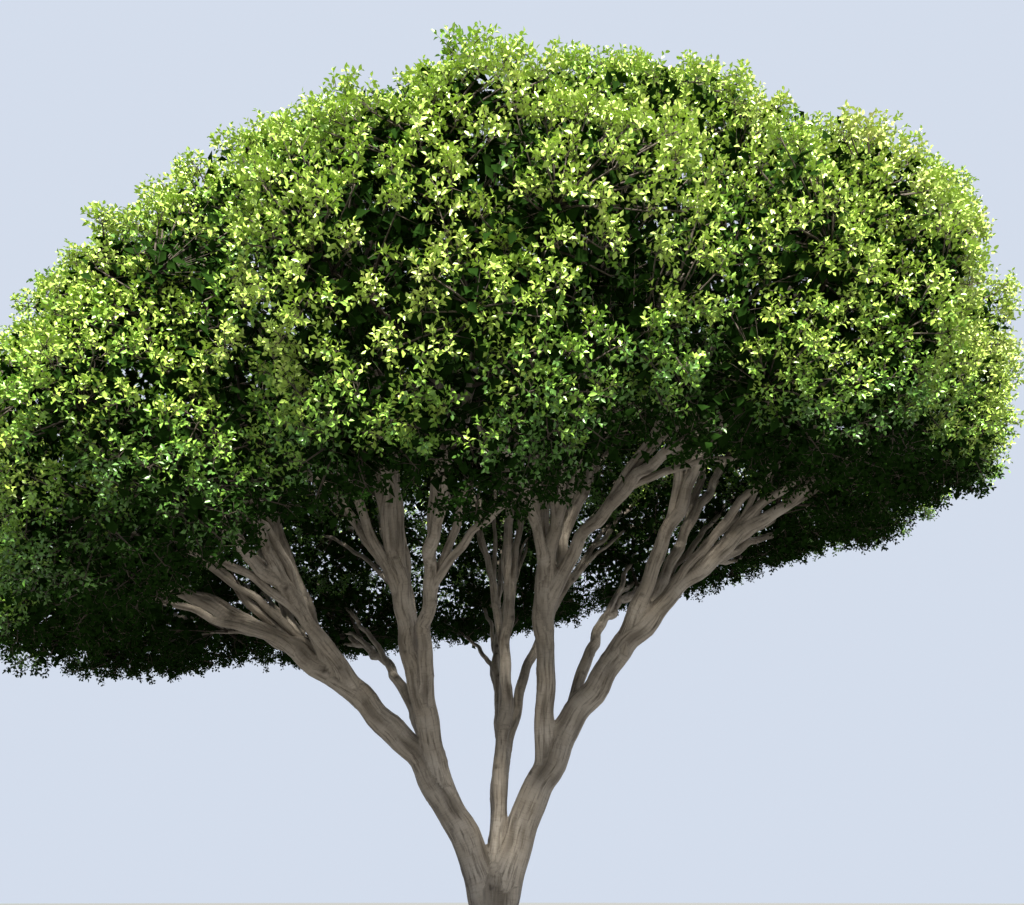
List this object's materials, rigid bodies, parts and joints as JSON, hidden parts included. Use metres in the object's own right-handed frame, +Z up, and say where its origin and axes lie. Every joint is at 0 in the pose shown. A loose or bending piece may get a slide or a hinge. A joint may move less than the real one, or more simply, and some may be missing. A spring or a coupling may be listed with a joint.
{
  "type": "indian laurel fig tree",
  "caption": "Street tree with a short flared trunk, a vase of bare upswept boughs and a broad domed evergreen crown; gives shade and marks a verge.",
  "frame": {"origin": "centre of the flat cut under the trunk, at ground level", "axes": "+X to the right of the pictured side, +Y to the back, +Z up"},
  "size_m": [18.4577, 18.3912, 14.3101],
  "materials": {
    "bark": "pale grey-brown bark",
    "foliage": "glossy green leaves"
  },
  "bodies": {
    "root": {"trunk": "bark", "rim_10_bough": "bark", "rim_10_left_side_bough": "bark", "rim_1_bough": "bark", "rim_1_left_side_bough": "bark", "rim_2_bough": "bark", "rim_3_bough": "bark", "rim_4_bough": "bark", "rim_5_bough": "bark", "rim_6_bough": "bark", "rim_6_left_side_bough": "bark", "rim_7_bough": "bark", "rim_7_right_side_bough": "bark", "rim_8_bough": "bark", "rim_8_left_side_bough": "bark", "rim_9_bough": "bark", "rim_9_right_side_bough": "bark", "shoulder_1_bough": "bark", "shoulder_2_bough": "bark", "shoulder_3_bough": "bark", "shoulder_4_bough": "bark", "shoulder_5_bough": "bark", "shoulder_6_bough": "bark", "shoulder_6_left_side_bough": "bark", "shoulder_7_bough": "bark", "shoulder_8_bough": "bark", "shoulder_9_bough": "bark", "top_1_bough": "bark", "upper_1_bough": "bark", "upper_2_bough": "bark", "upper_3_bough": "bark", "upper_4_bough": "bark", "upper_5_bough": "bark", "upper_6_bough": "bark", "rim_10_foliage": "foliage", "rim_1_foliage": "foliage", "rim_2_foliage": "foliage", "rim_3_foliage": "foliage", "rim_4_foliage": "foliage", "rim_5_foliage": "foliage", "rim_6_foliage": "foliage", "rim_7_foliage": "foliage", "rim_8_foliage": "foliage", "rim_9_foliage": "foliage", "shoulder_1_foliage": "foliage", "shoulder_2_foliage": "foliage", "shoulder_3_foliage": "foliage", "shoulder_4_foliage": "foliage", "shoulder_5_foliage": "foliage", "shoulder_6_foliage": "foliage", "shoulder_7_foliage": "foliage", "shoulder_8_foliage": "foliage", "shoulder_9_foliage": "foliage", "top_1_foliage": "foliage", "upper_1_foliage": "foliage", "upper_2_foliage": "foliage", "upper_3_foliage": "foliage", "upper_4_foliage": "foliage", "upper_5_foliage": "foliage", "upper_6_foliage": "foliage"}
  },
  "joints": []
}
